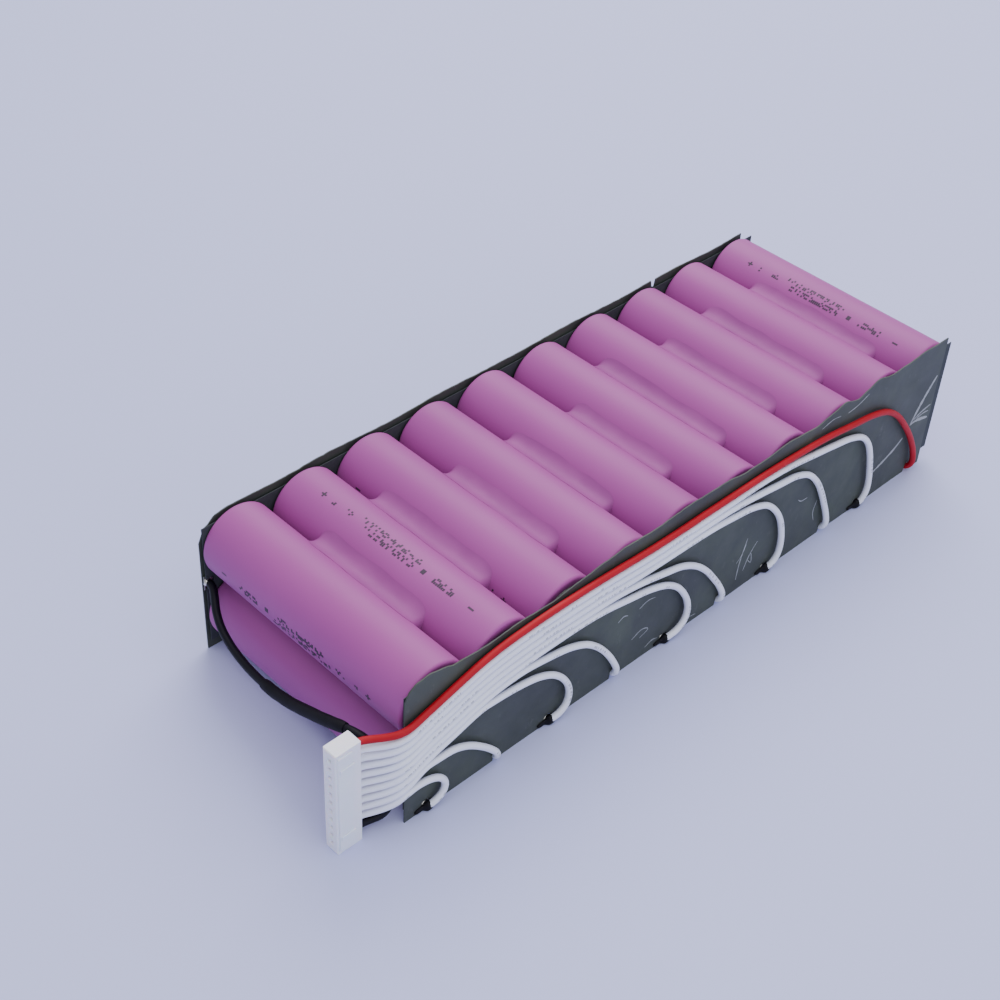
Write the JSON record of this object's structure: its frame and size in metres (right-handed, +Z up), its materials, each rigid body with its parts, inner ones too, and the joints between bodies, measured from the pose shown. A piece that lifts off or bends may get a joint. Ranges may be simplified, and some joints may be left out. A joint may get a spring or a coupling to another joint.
{
  "type": "battery pack",
  "caption": "Bare rechargeable battery pack: wrapped cylindrical cells in two layers between dark papers, with a flat ribbon of balance wires ending in an upright white connector.",
  "frame": {"origin": "on the surface that the pack stands on, below the middle of the cell block", "axes": "+X along the row of cells, away from the connector; +Y from the front paper, which the wires cross, to the back paper, along the cells' axes; +Z up"},
  "size_m": [0.2003, 0.0697, 0.04],
  "materials": {
    "cell_wrap": "satin heat-shrink film, pink mauve",
    "insulating_paper": "matt dark grey-green insulating paper, lightly scuffed",
    "gasket_sheet": "matt die-cut fibre sheet",
    "nickel": "rolled nickel strip",
    "white_pvc": "smooth extruded insulation, white",
    "red_pvc": "smooth extruded insulation, red",
    "black_pvc": "smooth extruded insulation, black",
    "connector_nylon": "moulded natural nylon",
    "tinned_contact": "tin-plated phosphor bronze",
    "clear_adhesive": "cured clear adhesive, slightly milky",
    "black_ink": "jet-printed marks"
  },
  "bodies": {
    "root": {"cell_bottom_01": "cell_wrap", "cell_bottom_02": "cell_wrap", "cell_bottom_03": "cell_wrap", "cell_bottom_04": "cell_wrap", "cell_bottom_05": "cell_wrap", "cell_bottom_06": "cell_wrap", "cell_bottom_07": "cell_wrap", "cell_bottom_08": "cell_wrap", "cell_bottom_09": "cell_wrap", "cell_bottom_10": "cell_wrap", "cell_top_01": "cell_wrap", "cell_top_02": "cell_wrap", "cell_top_03": "cell_wrap", "cell_top_04": "cell_wrap", "cell_top_05": "cell_wrap", "cell_top_06": "cell_wrap", "cell_top_07": "cell_wrap", "cell_top_08": "cell_wrap", "cell_top_09": "cell_wrap", "cell_top_10": "cell_wrap", "nickel_front_1": "nickel", "nickel_front_2": "nickel", "nickel_front_3": "nickel", "nickel_front_4": "nickel", "nickel_front_5": "nickel", "nickel_back_1": "nickel", "nickel_back_2": "nickel", "nickel_back_3": "nickel", "nickel_back_4": "nickel", "nickel_back_5": "nickel", "nickel_back_6": "nickel", "front_gasket": "gasket_sheet", "back_gasket": "gasket_sheet", "front_paper": "insulating_paper", "back_paper": "insulating_paper", "wire_black": "black_pvc", "wire_white_1": "white_pvc", "wire_white_2": "white_pvc", "wire_white_3": "white_pvc", "wire_white_4": "white_pvc", "wire_white_5": "white_pvc", "wire_white_6": "white_pvc", "wire_white_7": "white_pvc", "wire_white_8": "white_pvc", "wire_white_9": "white_pvc", "wire_red": "red_pvc", "black_wire_sleeve": "black_pvc", "connector_housing": "connector_nylon", "contact_01": "tinned_contact", "contact_02": "tinned_contact", "contact_03": "tinned_contact", "contact_04": "tinned_contact", "contact_05": "tinned_contact", "contact_06": "tinned_contact", "contact_07": "tinned_contact", "contact_08": "tinned_contact", "contact_09": "tinned_contact", "contact_10": "tinned_contact", "contact_11": "tinned_contact"}
  },
  "joints": []
}
